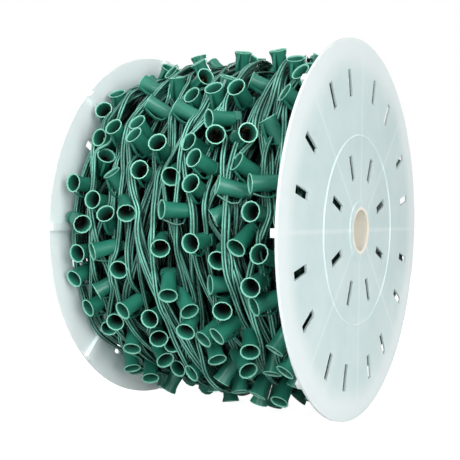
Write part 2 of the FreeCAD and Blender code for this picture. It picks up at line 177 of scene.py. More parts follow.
cloud = add_noise(milky_tree, milky_place, scale=16, detail=5, roughness=0.62)
shaded_cloud_colour = add_ramp(milky_tree, cloud, 0.3, 0.72, shaded_cloud_dark, shaded_cloud_pale)
ragged_radius = add_math(
    milky_tree, "MULTIPLY_ADD", add_noise(milky_tree, milky_place, scale=14, detail=3),
    shade_raggedness, from_axis)
unshaded_rim_share = add_smooth_step(milky_tree, ragged_radius, shade_inner_radius, shade_outer_radius)
sheet_colour = add_mix(milky_tree, unshaded_rim_share, shaded_cloud_colour, rim_colour)
rib_line = add_smooth_step(
    milky_tree, off_rib_line, 2.2 * rib_line_half_width, 0.4 * rib_line_half_width)
faint_line = add_math(milky_tree, "MULTIPLY", rib_line, rib_line_strength)
milky_tree.links.new(
    add_mix(milky_tree, faint_line, sheet_colour, rib_colour), milky_shader.inputs["Base Color"])
milky_shader.inputs["Subsurface Weight"].default_value = 0.35
milky_shader.inputs["Subsurface Radius"].default_value = (1.0, 1.0, 1.0)
milky_shader.inputs["Subsurface Scale"].default_value = 0.004
milky_ripple = add_noise(milky_tree, milky_place, scale=45, detail=2)
add_bump(milky_tree, milky_shader, milky_ripple, strength=0.15, distance=0.0006)
for side in ("right", "left"):
    dress(cad_nodes[f"flange_{side}"], milky)


# Buried winding. The inner layers of cord, of which only glimpses show between the outer
# strands, near black with painted shade: one turned form with a ridge for each strand, from
# flange to flange.
drum_half_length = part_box("winding_core")[1].x
drum_bore = 0.030
ridge_pitch = 0.0049
ridge_height = 0.0016
ridge_steps = 4
drum_sides = 96
winding_depth = 0.0150
last_turn_place = 0.112
crown_window = 0.008

turns_mesh = cad_nodes["outer_turns"].data
turn_points = np.array([vertex.co for vertex in turns_mesh.vertices])
turn_radii = np.hypot(turn_points[:, 1], turn_points[:, 2])
crown_places = np.linspace(-last_turn_place, last_turn_place, 15)
crown_radii = np.array([
    turn_radii[np.abs(turn_points[:, 0] - place) < crown_window].mean()
    for place in crown_places
])
crown_curve = np.polyfit(crown_places, crown_radii, 4)


def crown_radius(place):
    """The radius of the outer turns' middle, at a place along the axis."""
    return np.polyval(crown_curve, place)


def add_object(name, vertices, edges=(), faces=()):
    """A linked object with a plain mesh of its own."""
    mesh = bpy.data.meshes.new(name)
    mesh.from_pydata(vertices, edges, faces)
    mesh.update()
    piece = bpy.data.objects.new(name, mesh)
    bpy.context.scene.collection.objects.link(piece)
    return piece


def between_rings(low, high, sides):
    """Faces between two rings of corners, given by the number of each ring's first corner."""
    following = [(side + 1) % sides for side in range(sides)]
    return [(low + side, low + after, high + after, high + side)
            for side, after in enumerate(following)]


def add_ring(name, outline, sides):
    """A ring turned about the X axis from (place, radius) pairs, with its faces outward."""
    angles = np.arange(sides) * 2 * math.pi / sides
    vertices = [
        (place, radius * math.sin(angle), radius * math.cos(angle))
        for place, radius in outline for angle in angles
    ]
    faces = []
    for ring in range(len(outline)):
        faces += between_rings(ring * sides, (ring + 1) % len(outline) * sides, sides)
    return add_object(name, vertices, faces=faces)


ridges = int(2 * drum_half_length / ridge_pitch)
drum_outline = [(-drum_half_length, drum_bore)]
for step in range(ridges * ridge_steps + 1):
    place = -drum_half_length + 2 * drum_half_length * step / (ridges * ridge_steps)
    swell = abs(math.sin(math.pi * step / ridge_steps)) * ridge_height
    drum_outline.append((place, crown_radius(place) - winding_depth - ridge_height + swell))
drum_outline.append((drum_half_length, drum_bore))
buried_winding = add_ring("buried_winding", drum_outline, drum_sides)


def make_cord_material(name, low, high, crest, deep_shade):
    """Soft green insulation: slow colour drift along the cord, a painted highlight along the two
    wires' crests, dark between them, and painted shade that darkens it deep in the winding."""
    material, tree, shader, place = start_material(name, roughness=0.30)
    drift = add_noise(tree, place, scale=26, detail=3)
    green = add_ramp(tree, drift, 0.35, 0.7, low, high)
    on_crest, depth = [
        add_node(tree, "ShaderNodeAttribute", {}, attribute_name=label).outputs["Fac"]
        for label in ("crest", "depth")]
    # Painted highlight along each wire's crest, stronger in some stretches of cord than in
    # others.
    highlight_strength = add_smooth_step(tree, add_noise(tree, place, scale=34, detail=3), 0.38, 0.66)
    crest_highlight = add_math(
        tree, "MULTIPLY", add_smooth_step(tree, on_crest, 0.36, 1.0),
        add_math(tree, "MULTIPLY_ADD", highlight_strength, 0.65, 0.35))
    crest_highlighted = add_mix(tree, crest_highlight, green, crest)
    # Painted shade: the cord's colour darkens the deeper it lies in the winding.
    tree.links.new(add_mix(tree, depth, crest_highlighted, deep_shade), shader.inputs["Base Color"])
    haze = add_noise(tree, place, scale=350, detail=2)
    tree.links.new(
        add_math(tree, "MULTIPLY_ADD", haze, 0.12, 0.22), shader.inputs["Roughness"])
    shader.inputs["Specular IOR Level"].default_value = 0.6
    shader.inputs["Specular Tint"].default_value = (0.50, 1.0, 0.82, 1)
    grain = add_noise(tree, place, scale=700, detail=2)
    add_bump(tree, shader, grain, strength=0.12, distance=0.0003)
    return material


# The same cord, painted near black all over as painted shade deep in the winding.
buried_shaded_green = make_cord_material(
    "buried_cord_green", low=(0.003, 0.010, 0.008), high=(0.006, 0.022, 0.016),
    crest=(0.008, 0.030, 0.022), deep_shade=(0.004, 0.014, 0.011))
buried_winding.data.materials.append(buried_shaded_green)
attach(buried_winding, "root")
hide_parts("winding_core")


# Winding. One flat twin cord, two insulated wires side by side, laid loop beside loop in loose
# layers. It is pulled taut over what lies below and goes round each lamp socket in its way.
chance = np.random.default_rng(20)
loop_steps = 120
loops_per_layer = 16
layers = 8
first_socket_loop = 32
lay_half_width = 0.1170
narrowing = 0.10
strand_half_width = 0.0028
strand_thickness = 0.0029
surface_half_width = 0.125
bin_width = 0.001
grid_width = 0.0015
bend_effort = 0.35
climb_effort = 250
stray_effort = 900
edge_effort = 6
socket_effort = 20
held_effort = 1e4
outside_effort = 1e6
way_rounds = 70
way_easing = 0.48
way_pull = 0.005
fixed_socket_weight = 6
slight_cut = 0.0008
clear_cut = 0.0015
spots_tried, tilts_tried = 9, 9
socket_spacing = 0.3048
socket_radius = 0.0080
socket_lip_radius = 0.0096
socket_height = 0.0282
seat_height = 0.0040
seat_half_width = 0.007
lean_spread, most_lean = 0.45, 1.0
pitch_spread, most_pitch = 0.32, 0.7
least_socket_gap = 0.0155
clear_socket_gap = 0.0185
reach_limit = cad_box[1].z - 0.0015
highest_strand = cad_box[1].z - 0.005
outmost_strand = 0.1195
step_angle = 2 * math.pi / loop_steps

bins = np.arange(-surface_half_width, surface_half_width + bin_width / 2, bin_width)
surface = np.tile(crown_radius(bins) - winding_depth, (loop_steps, 1))


def in_space(points):
    """Points in space from (place, angle, radius), with the angle from +Y towards +Z."""
    places, angles, radii = points.T
    return np.column_stack([places, radii * np.cos(angles), radii * np.sin(angles)])


def loose_parts(node):
    """The separate solids of a node, as arrays of points: its corners grouped by nearness."""
    points = np.unique(np.array([vertex.co for vertex in node.data.vertices]).round(6), axis=0)
    reach = 0.033
    groups = []
    while len(points):
        near = np.linalg.norm(points - points[0], axis=1) < reach
        groups.append(points[near])
        points = points[~near]
    return groups


def socket_direction(angle, lean, pitch):
    """The way a socket's mouth faces: outward, leant along the reel and pitched round it."""
    outward = np.array([0, math.cos(angle), math.sin(angle)])
    along = np.array([0, -math.sin(angle), math.cos(angle)])
    upright = outward * math.cos(lean) + np.array([math.sin(lean), 0, 0])
    return upright * math.cos(pitch) + along * math.sin(pitch)


def socket_axis(angle, place, foot, lean, pitch):
    """Points along a socket's middle line, from its foot to its mouth."""
    start = in_space(np.array([[place, angle, foot]]))[0]
    direction = socket_direction(angle, lean, pitch)
    return start + direction * np.linspace(0.1, 1, 5)[:, None] * socket_height


def socket_reach(angle, place, foot, lean, pitch):
    """The farthest that a socket's lip stands from the reel's axis."""
    mouth = socket_axis(angle, place, foot, lean, pitch)[-1]
    from_axis = math.hypot(mouth[1], mouth[2])
    rise = socket_direction(angle, lean, pitch) @ np.array([0, mouth[1], mouth[2]]) / from_axis
    return from_axis + socket_lip_radius * math.sqrt(1 - rise * rise)


# The outermost turns' sockets keep the places that the solid parts give them
socket_groups = sorted(
    int(name.rsplit("_", 1)[1]) for name in cad_nodes if name.startswith("socket_bodies_"))
sockets = []
for group in socket_groups:
    cups = loose_parts(cad_nodes[f"socket_bodies_{group}"])
    for cap in loose_parts(cad_nodes[f"socket_caps_{group}"]):
        centre = cap.mean(axis=0)
        cup = min(cups, key=lambda part: np.linalg.norm(part.mean(axis=0) - centre))
        direction = cup.mean(axis=0) - centre
        angle = math.atan2(centre[2], centre[1])
        outward = np.array([0, math.cos(angle), math.sin(angle)])
        lean = math.atan2(direction[0], direction @ outward)
        sockets.append((angle, centre[0], math.hypot(centre[1], centre[2]) + 0.001, lean, 0.0))
fixed_sockets = len(sockets)
socket_axes = np.array([socket_axis(*socket) for socket in sockets])


def support_under(course, first_step, half_width):
    """The radius of what lies under each point of a stretch of cord."""
    rows = (first_step + np.arange(len(course))) % loop_steps
    spread = np.arange(-round(half_width / bin_width), round(half_width / bin_width) + 1)
    columns = np.round((course - bins[0]) / bin_width).astype(int)[:, None] + spread
    return surface[rows[:, None], np.clip(columns, 0, len(bins) - 1)].max(axis=1)


def eased(values, rounds):
    """The same run of values with its sharp bends rounded."""
    for _ in range(rounds):
        values = np.concatenate([
            values[:1], 0.25 * values[:-2] + 0.5 * values[1:-1] + 0.25 * values[2:], values[-1:]])
    return values


def easiest_route(wanted, met, first_step, held):
    """The way across the winding with least effort: it bends, climbs and strays as little as
    it can, and passes beside the sockets."""
    grid = np.arange(-lay_half_width, lay_half_width + grid_width / 2, grid_width)
    columns = np.round((grid - bins[0]) / bin_width).astype(int)
    rows = (first_step + np.arange(len(wanted))) % loop_steps
    height = np.max([surface[rows][:, columns + offset] for offset in (-2, 0, 2)], axis=0)
    effort = climb_effort * (height - height.min())
    effort += stray_effort * (grid - wanted[:, None]) ** 2
    for _, index, middle, room in met:
        into = 1 - np.abs(grid - middle) / room
        effort[index] += np.where(into > 0, edge_effort + socket_effort * into, 0)
    shifts = np.arange(-2, 3)
    total = effort[0] + held_effort * np.abs(grid - held[0])
    origins = []
    for step_effort in effort[1:]:
        padded = np.pad(total, 2, constant_values=outside_effort)
        ways = np.array([
            padded[2 + shift:2 + shift + len(grid)] + bend_effort * shift * shift
            for shift in shifts])
        choice = ways.argmin(axis=0)
        origins.append(choice)
        total = ways.min(axis=0) + step_effort
    place = int(total.argmin())
    route = [place]
    for choice in reversed(origins):
        place += int(shifts[choice[place]])
        route.append(place)
    return eased(grid[route[::-1]], rounds=8)


def pull_taut(support, held, rounds):
    """A cord pulled over its supports: between two of them it runs straight, so that its
    distance from the axis is that of a chord."""
    radius = support.copy()
    radius[0] = held
    for _ in range(rounds):
        chord = 2 * math.cos(step_angle) / (1 / radius[:-2] + 1 / radius[2:])
        radius[1:-1] = np.maximum(support[1:-1], chord)
    return radius


def sockets_met(wanted, radius, first_step):
    """The sockets in the way of a stretch of cord: which, step, place and room needed."""
    below_foot, past_mouth = 0.005, 0.002
    abreast, nearly_abreast, nearly_share = 0.007, 0.0115, 0.8
    clearance, lip_start, look_aside = 0.0010, 0.018, 0.05
    met = []
    for number, (angle, place, foot, lean, pitch) in enumerate(sockets):
        mouth = socket_height * math.cos(lean) * math.cos(pitch) + past_mouth
        for turn in range(math.ceil((first_step - 2) / loop_steps) - 1,
                          (first_step + len(wanted)) // loop_steps + 1):
            nearest = (angle / step_angle) % loop_steps + turn * loop_steps - first_step
            for index in range(max(0, math.floor(nearest) - 1),
                               min(len(wanted), math.floor(nearest) + 3)):
                above = radius[index] - foot
                if not -below_foot < above < mouth:
                    continue
                turn_off = (index - nearest) * step_angle * radius[index]
                turn_off -= above * math.tan(pitch)
                if abs(turn_off) > nearly_abreast:
                    continue
                middle = place + above * math.tan(lean)
                room = socket_radius / math.cos(lean) + strand_half_width + clearance
                if above > lip_start:
                    room += socket_lip_radius - socket_radius
                if abs(turn_off) > abreast:
                    room *= nearly_share
                if abs(wanted[index] - middle) < room + look_aside:
                    met.append((number, index, middle, room))
    return met


def find_way(wanted, met, sides, held):
    """A stretch of cord keeps near its wanted line, bends only gently, and is pushed to one
    side of each socket that it meets."""
    course = wanted.copy()
    for _ in range(way_rounds):
        course[1:-1] += way_easing * (0.5 * (course[:-2] + course[2:]) - course[1:-1])
        course += way_pull * (wanted - course)
        for number, index, middle, room in met:
            side = sides[number]
            if side * (course[index] - middle) < room:
                course[index] = middle + side * room
        course[:2] = held
        np.clip(course, -lay_half_width, lay_half_width, out=course)
    return course


def best_way(wanted, met, held):
    """The way past the sockets that cuts least into them, trying both sides of those cut."""
    sides = {}
    for number, index, middle, _ in met:
        sides.setdefault(number, 1.0 if wanted[index] > middle else -1.0)
    best = None
    for _ in range(6):
        course = find_way(wanted, met, sides, held)
        cuts = {}
        for number, index, middle, room in met:
            cut = room - sides[number] * (course[index] - middle)
            if number < fixed_sockets:
                cut *= fixed_socket_weight
            cuts[number] = max(cuts.get(number, 0.0), cut)
        total = sum(cut for cut in cuts.values() if cut > slight_cut)
        if best is None or total < best[0]:
            best = (total, course)
        worst = max(cuts, key=cuts.get, default=None)
        if worst is None or cuts[worst] < clear_cut:
            break
        sides[worst] = -sides[worst]
    return best[1]


def best_socket_place(course, first_step, index):
    """Where a socket near one step of the cord stands clearest of the others."""
    best = None
    for spot in range(index, min(index + spots_tried, loop_steps)):
        angle = (first_step + spot) * step_angle
        seat = support_under(course[spot:spot + 1], first_step + spot, seat_half_width)[0]
        foot = seat + seat_height
        for lean, pitch in zip(
                np.clip(chance.normal(0, lean_spread, tilts_tried), -most_lean, most_lean),
                np.clip(chance.normal(0, pitch_spread, tilts_tried), -most_pitch, most_pitch)):
            side_reach = abs(course[spot] + socket_height * math.sin(lean))
            side_reach += socket_lip_radius * math.cos(lean)
            height = socket_reach(angle, course[spot], foot, lean, pitch)
            if side_reach > lay_half_width + 0.003 or height > reach_limit:
                continue
            axis = socket_axis(angle, course[spot], foot, lean, pitch)
            gap = np.linalg.norm(socket_axes[:, :, None] - axis[None, None], axis=3).min()
            if best is None or gap > best[0]:
                best = (gap, spot, angle, foot, lean, pitch, axis)
            if gap > clear_socket_gap:
                return best
    return best


ahead = 24
knot_steps = 12
slow_knot_share = 6
knot_wander = 0.0034
slow_knot_wander = 0.0070
total_steps = layers * loops_per_layer * loop_steps
knots = chance.normal(0, 1, total_steps // knot_steps + 8)
slow_knots = chance.normal(0, 1, total_steps // (slow_knot_share * knot_steps) + 8)
steps = np.arange(total_steps + 2 * ahead)
sweep = 2 * np.abs(steps / loop_steps / loops_per_layer % 2 - 1) - 1
wanted_course = lay_half_width * sweep
wanted_course += knot_wander * np.interp(steps / knot_steps, np.arange(len(knots)), knots)
wanted_course += slow_knot_wander * np.interp(
    steps / knot_steps / slow_knot_share, np.arange(len(slow_knots)), slow_knots)
beyond = np.abs(wanted_course) > lay_half_width
wanted_course[beyond] = (
    2 * lay_half_width * np.sign(wanted_course[beyond]) - wanted_course[beyond])
wanted_course -= np.minimum(wanted_course, 0) * narrowing * np.minimum(steps / total_steps, 1)

laid_course = np.zeros(total_steps)
laid_radius = np.zeros(total_steps)
socket_steps = []
held_course = wanted_course[:2]
held_radius = surface[0, 0] + strand_thickness
run = 0.0
next_socket = 0.0
for loop in range(layers * loops_per_layer):
    first_step = loop * loop_steps
    wanted = wanted_course[first_step:first_step + loop_steps + ahead]
    course = wanted
    for _ in range(3):
        height = support_under(course, first_step, strand_half_width)
        radius = pull_taut(height + strand_thickness / 2, held_radius, rounds=12)
        met = sockets_met(wanted, radius, first_step)
        route = easiest_route(wanted, met, first_step, held_course)
        course = best_way(route, met, held_course)
    support = support_under(course, first_step, strand_half_width) + strand_thickness / 2
    support = np.minimum(support, highest_strand)
    radius = pull_taut(support, held_radius, rounds=40)
    new_sockets = []
    for index in range(2, loop_steps):
        run += math.hypot(radius[index] * step_angle, course[index] - course[index - 1])
        if run < next_socket or loop < first_socket_loop:
            continue
        next_socket = run + socket_spacing
        best = best_socket_place(course, first_step, index)
        if best and best[0] > least_socket_gap:
            _, spot, angle, foot, lean, pitch, axis = best
            new_sockets.append((spot, angle, foot, lean, pitch))
            socket_axes = np.concatenate([socket_axes, axis[None]])
            support[spot - 1:spot + 2] = np.maximum(support[spot - 1:spot + 2], foot)
    radius = pull_taut(support, held_radius, rounds=60)
    for spot, angle, foot, lean, pitch in new_sockets:
        sockets.append((angle, course[spot], radius[spot], lean, pitch))
        socket_steps.append(first_step + spot)
    rows = (first_step + np.arange(loop_steps)) % loop_steps
    columns = np.round((course[:loop_steps] - bins[0]) / bin_width).astype(int)
    for offset in range(-2, 3):
        cells = surface[rows, columns + offset]
        surface[rows, columns + offset] = np.maximum(
            cells, radius[:loop_steps] + strand_thickness / 2)
    laid_course[first_step:first_step + loop_steps] = course[:loop_steps]
    laid_radius[first_step:first_step + loop_steps] = radius[:loop_steps]
    held_course = course[loop_steps:loop_steps + 2]
    held_radius = radius[loop_steps]


def twice_as_fine(values):
    """A smooth curve through evenly spaced values, with one more between each two."""
    before = np.concatenate([values[:1], values[:-2]])
    after = np.concatenate([values[2:], values[-1:]])
    between = (9 * (values[:-1] + values[1:]) - before - after) / 16
    fine = np.empty(2 * len(values) - 1)
    fine[0::2], fine[1::2] = values, between
    return fine


# Where the cord turned back at the left flange, slack loops bow out low at the front
slack_loop = 7 * loops_per_layer
slack_turn = 0.60
least_bow, most_bow = 0.006, 0.013
for loop in range(slack_loop - 3, slack_loop + 3):
    middle = loop * loop_steps + int(chance.normal(slack_turn, 0.02) * loop_steps)
    reach = int(chance.uniform(12, 20))
    offsets = np.arange(-reach, reach + 1)
    bow = np.cos(offsets / reach * math.pi / 2) ** 2
    laid_radius[middle + offsets] += chance.uniform(least_bow, most_bow) * bow

laid_course = eased(laid_course, rounds=1)
laid_radius = eased(laid_radius, rounds=2)
for number, step in enumerate(socket_steps):
    angle, _, _, lean, pitch = sockets[fixed_sockets + number]
    sockets[fixed_sockets + number] = (angle, laid_course[step], laid_radius[step], lean, pitch)
fine_angles = np.arange(2 * total_steps - 1) * step_angle / 2
strand_points = np.column_stack(
    [twice_as_fine(laid_course), fine_angles, twice_as_fine(laid_radius)])
winding_points = in_space(strand_points)


# The loops give way to the sockets' walls, and a socket that is still cut through is left off
seated_below = 0.0042
cap_top = 0.0055
cup_inside_radius = 0.0076
lip_start = 0.021
wall_clearance = 0.0024
push_rounds = 10
push_easing = 0.35


def beside_socket(socket):
    """The strand points beside a socket: which, how far above its foot, and how far off its
    middle line as a vector and a length."""
    angle, place, foot, lean, pitch = socket
    start = in_space(np.array([[place, angle, foot]]))[0]
    direction = socket_direction(angle, lean, pitch)
    offsets = winding_points - start
    above = offsets @ direction
    nearby = np.nonzero((above > seated_below) & (above < socket_height + 0.002))[0]
    away = offsets[nearby] - np.outer(above[nearby], direction)
    return nearby, above[nearby], away, np.linalg.norm(away, axis=1)


def give_way(socket):
    """Each stretch of strand that runs through a socket's wall moves out to one side of it."""
    nearby, above, away, distance = beside_socket(socket)
    room = np.where(above > lip_start, socket_lip_radius, socket_radius) + wall_clearance
    tight = np.nonzero(distance < room)[0]
    for part in np.split(tight, np.nonzero(np.diff(nearby[tight]) > 1)[0] + 1):
        if not len(part):
            continue
        along = (winding_points[min(nearby[part[-1]] + 1, len(winding_points) - 1)]
                 - winding_points[max(nearby[part[0]] - 1, 0)])
        along /= np.linalg.norm(along)
        to_side = away[part].mean(axis=0)
        to_side -= along * (to_side @ along)
        if np.linalg.norm(to_side) < 1e-5:
            to_side = np.cross(along, socket_direction(socket[0], *socket[3:]))
        to_side /= np.linalg.norm(to_side)
        off = away[part] @ to_side
        push = np.sqrt(off ** 2 + room[part] ** 2 - distance[part] ** 2) - off
        winding_points[nearby[part]] += push[:, None] * to_side


for _ in range(push_rounds):
    for socket in sockets:
        give_way(socket)
    for _ in range(2):
        middle = 0.5 * (winding_points[:-2] + winding_points[2:])
        winding_points[1:-1] += push_easing * (middle - winding_points[1:-1])
    winding_points[:, 0] = np.clip(winding_points[:, 0], -outmost_strand, outmost_strand)
winding_radii = np.hypot(winding_points[:, 1], winding_points[:, 2])
winding_points[:, 1:] *= np.minimum(1, highest_strand / winding_radii)[:, None]


def cut_through(socket):
    """Whether a strand still runs well inside a socket."""
    _, above, _, distance = beside_socket(socket)
    return (distance[(above > cap_top) & (above < socket_height - 0.001)]
            < cup_inside_radius).any()


sockets = [
    socket for number, socket in enumerate(sockets)
    if number < fixed_sockets or not (cut_through(socket) or socket_reach(*socket) > reach_limit)]


# Sweeping the twin cord's section along its course
def start_tree(name, inputs):
    """An empty modifier tree with named inputs, and its group nodes."""
    tree = bpy.data.node_groups.new(name, "GeometryNodeTree")
    tree.interface.new_socket("Geometry", in_out="OUTPUT", socket_type="NodeSocketGeometry")
    tree.interface.new_socket("Geometry", in_out="INPUT", socket_type="NodeSocketGeometry")
    identifiers = {}
    for label, kind in inputs.items():
        socket = tree.interface.new_socket(label, in_out="INPUT", socket_type=kind)
        identifiers[label] = socket.identifier
    group_in = tree.nodes.new("NodeGroupInput")
    group_out = tree.nodes.new("NodeGroupOutput")
    return tree, identifiers, group_in, group_out


def named(tree, name, data_type="FLOAT_VECTOR"):
    return add_node(
        tree, "GeometryNodeInputNamedAttribute", {"Name": name}, data_type=data_type,
    ).outputs["Attribute"]


def store(tree, geometry, name, data_type, domain, value):
    """A geometry with one more named attribute."""
    return add_node(tree, "GeometryNodeStoreNamedAttribute", {
        "Geometry": geometry, "Name": name, "Value": value,
    }, data_type=data_type, domain=domain)


def end_tree(tree, geometry, group_in, group_out):
    """A tree's last nodes: everything made real, in the given material."""
    real = add_node(tree, "GeometryNodeRealizeInstances", {"Geometry": geometry})
    finish = add_node(tree, "GeometryNodeSetMaterial", {
        "Geometry": real, "Material": group_in.outputs["Material"]})
    tree.links.new(finish.outputs["Geometry"], group_out.inputs["Geometry"])


def cord_tree():
    """Twin cord: two round wires side by side, with a sharp groove along the middle. The groove
    and the wires' crests, where the cord is given its painted highlight, are marked on the
    section while it is still a plain unit circle."""
    tree, identifiers, group_in, group_out = start_tree("twin_cord", {
        "Wire Radius": "NodeSocketFloat",
        "Wire Offset": "NodeSocketFloat",
        "Section Points": "NodeSocketInt",
        "Material": "NodeSocketMaterial",
    })
    given = group_in.outputs

    def calculate(operation, *values):
        return add_math(tree, operation, *values)

    line = add_node(tree, "GeometryNodeMeshToCurve", {"Mesh": given["Geometry"]})
    faced = add_node(tree, "GeometryNodeSetCurveNormal", {
        "Curve": line, "Normal": named(tree, "facing")}, mode="FREE")

    circle = add_node(tree, "GeometryNodeCurvePrimitiveCircle", {
        "Radius": 1.0, "Resolution": given["Section Points"]})
    position = add_node(tree, "GeometryNodeInputPosition", {})
    split = add_node(tree, "ShaderNodeSeparateXYZ", {0: position}).outputs
    wire, offset = given["Wire Radius"], given["Wire Offset"]
    along_width = calculate("ABSOLUTE", split["Y"])
    off_middle = calculate("MULTIPLY", offset, split["X"])
    under_root = calculate(
        "SUBTRACT", calculate("MULTIPLY", wire, wire),
        calculate("MULTIPLY", off_middle, off_middle))
    reach = calculate(
        "ADD", calculate("MULTIPLY", offset, along_width), calculate("SQRT", under_root))
    diagonal = calculate("MULTIPLY", calculate("ABSOLUTE", split["X"]), along_width)
    section = store(
        tree, circle, "groove", "BOOLEAN", "POINT", calculate("LESS_THAN", along_width, 0.1))
    section = store(
        tree, section, "crest", "FLOAT", "POINT",
        calculate("MULTIPLY", calculate("MULTIPLY", diagonal, diagonal), 4.0))
    scaled = add_node(
        tree, "ShaderNodeVectorMath", {0: position, "Scale": reach}, operation="SCALE")
    shape = add_node(
        tree, "GeometryNodeSetPosition", {"Geometry": section, "Position": scaled})

    swept = add_node(tree, "GeometryNodeCurveToMesh", {
        "Curve": faced, "Profile Curve": shape, "Fill Caps": True})
    smooth = add_node(tree, "GeometryNodeSetShadeSmooth", {"Geometry": swept})
    creased = store(
        tree, smooth, "sharp_edge", "BOOLEAN", "EDGE", named(tree, "groove", "BOOLEAN"))
    end_tree(tree, creased, group_in, group_out)
    return tree, identifiers


def apply_tree(guide, tree, identifiers, values):
    """Run a tree on a guide object and keep the result as the object's own plain mesh."""
    modifier = guide.modifiers.new(tree.name, "NODES")
    modifier.node_group = tree
    for label, value in values.items():
        modifier[identifiers[label]] = value
    evaluated = guide.evaluated_get(bpy.context.evaluated_depsgraph_get())
    made = bpy.data.meshes.new_from_object(evaluated)
    guide.modifiers.remove(modifier)
    guide.data = made
    made.name = guide.name


# Painted shade on the cord grows with depth below the winding's smoothed surface and is full at
# this depth.
deep = 0.0045
window_bins = 19
margin = window_bins // 2
window = np.ones(window_bins) / window_bins
level_surface = np.array([np.convolve(row, window, "same") for row in surface])
level_surface[:, :margin] = level_surface[:, margin:margin + 1]
level_surface[:, -margin:] = level_surface[:, -margin - 1:-margin]
level_surface = sum(np.roll(level_surface, turn, axis=0) for turn in (-2, -1, 0, 1, 2)) / 5


def depth_share(points):
    """How deep each point lies below the winding's mean surface about it, from 0 to 1."""
    rows = np.round(np.arctan2(points[:, 2], points[:, 1]) / step_angle).astype(int) % loop_steps
    columns = np.round((points[:, 0] - bins[0]) / bin_width).astype(int)
    below = level_surface[rows, np.clip(columns, 0, len(bins) - 1)]
    below = below - np.hypot(points[:, 1], points[:, 2])
    return np.clip(below / deep, 0, 1)


def add_attribute(piece, name, values):
    """A number or a direction for each corner of a piece."""
    kind, label = ("FLOAT", "value") if np.ndim(values) == 1 else ("FLOAT_VECTOR", "vector")
    attribute = piece.data.attributes.new(name, kind, "POINT")
    attribute.data.foreach_set(label, np.asarray(values, np.float32).ravel())


def add_line(name, points, facings, layer_shade=0):
    """A line of cord, with the way that its flat side faces and how much painted shade it
    carries.
    """
    edges = [(index, index + 1) for index in range(len(points) - 1)]
    piece = add_object(name, points.tolist(), edges)
    add_attribute(piece, "facing", facings)
    add_attribute(piece, "depth", np.maximum(depth_share(points), layer_shade))
    return piece


wire_radius = 0.00143
wire_offset = 0.00137
section_points = 16
twin_cord, twin_cord_inputs = cord_tree()
# The pale crest colour is the painted highlight along the wires, and the near-black last colour
# is the painted shade deep in the winding.
cord_green = make_cord_material(
    "cord_green", low=(0.005, 0.038, 0.026), high=(0.012, 0.076, 0.053),
    crest=(0.240, 0.640, 0.515), deep_shade=(0.002, 0.009, 0.007))
cord_values = {
    "Wire Radius": wire_radius, "Wire Offset": wire_offset,
    "Section Points": section_points, "Material": cord_green,
}


def unit(vectors):
    return vectors / np.linalg.norm(vectors, axis=1)[:, None]


def cord_facings(points, twist):
    """The flat side's direction at each point: outward from the axis, turned by a slow twist."""
    outward = unit(points * (0, 1, 1))
    along = unit(np.gradient(points, axis=0))
    outward = unit(outward - along * np.sum(outward * along, axis=1)[:, None])
    sideways = np.cross(along, outward)
    return outward * np.cos(twist)[:, None] + sideways * np.sin(twist)[:, None]


def slow_twist(count, spread):
    """An angle for each point of a line, which drifts by chance about zero."""
    spacing = 10
    turns = chance.normal(0, spread, count // spacing + 3)
    return np.interp(np.arange(count) / spacing, np.arange(len(turns)), turns)


winding_facings = cord_facings(winding_points, slow_twist(len(winding_points), spread=0.25))
# Painted shade by layer, whatever the depth: none on the last layer, some on the one below, more
# on the next, full deeper.
loops_above = (total_steps - np.arange(len(winding_points)) / 2) / loop_steps
winding_layer_shade = np.interp(
    loops_above / loops_per_layer, (0.9, 1.1, 1.9, 2.1, 3.5), (0, 0.45, 0.45, 0.8, 1))
stretches = 6
per_stretch = len(winding_points) // stretches
for number in range(stretches):
    stretch = slice(number * per_stretch, (number + 1) * per_stretch + 1)
    piece = add_line(
        f"winding_stretch_{number + 1}", winding_points[stretch], winding_facings[stretch],
        winding_layer_shade[stretch])
    apply_tree(piece, twin_cord, twin_cord_inputs, cord_values)
    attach(piece, "root")
    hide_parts("winding_core")


# Outer turns. The last and outermost length of the same cord. It comes square out of the left
# flange, bends into the first turn, crosses the winding and ends square on the right flange.
turns = 8
first_turn = 0.112
first_angle = math.radians(22.5)
turn_wander = 0.002
wander_pace = math.radians(137.5)
end_bend = 0.00837
steps_per_quarter = loop_steps // 2


def through_places(values, steps_between):
    """A smooth curve through evenly spaced values, level at both ends."""
    slopes = np.gradient(values)
    slopes[[0, -1]] = 0
    part = np.arange(steps_between) / steps_between
    rise = part * part * (3 - 2 * part)
    spans = [
        low + (high - low) * rise + slope_low * part * (1 - part) ** 2
        - slope_high * part * part * (1 - part)
        for low, high, slope_low, slope_high in zip(values, values[1:], slopes, slopes[1:])
    ]
    return np.append(np.concatenate(spans), values[-1])


quarters = np.arange(4 * turns + 1)
quarter_places = first_turn * (2 * quarters / quarters[-1] - 1)
quarter_places[1:-1] += turn_wander * np.sin(wander_pace * quarters[1:-1])
outer_places = through_places(quarter_places, steps_per_quarter)
outer_angles = first_angle + np.arange(len(outer_places)) * math.pi / 2 / steps_per_quarter
outer_rows = np.round(outer_angles / step_angle).astype(int) % loop_steps
outer_columns = np.round((outer_places - bins[0]) / bin_width).astype(int)
outer_support = np.max(
    [surface[outer_rows, outer_columns + offset] for offset in (-2, 0, 2)], axis=0)
hold_reach = 0.010
outer_radii = np.maximum(crown_radius(outer_places), outer_support + strand_thickness / 2)
for angle, place, foot, _, _ in sockets[:fixed_sockets]:
    turn_number = np.round((outer_angles - angle) / (2 * math.pi))
    turned_by = outer_angles - angle - turn_number * 2 * math.pi
    off_socket = np.hypot(turned_by * foot, outer_places - place)
    hold = np.clip(1.6 - off_socket / hold_reach, 0, 1)
    outer_radii += hold * (foot - outer_radii)
outer_radii = eased(outer_radii, rounds=6)
turn_points = in_space(np.column_stack([outer_places, outer_angles, outer_radii]))


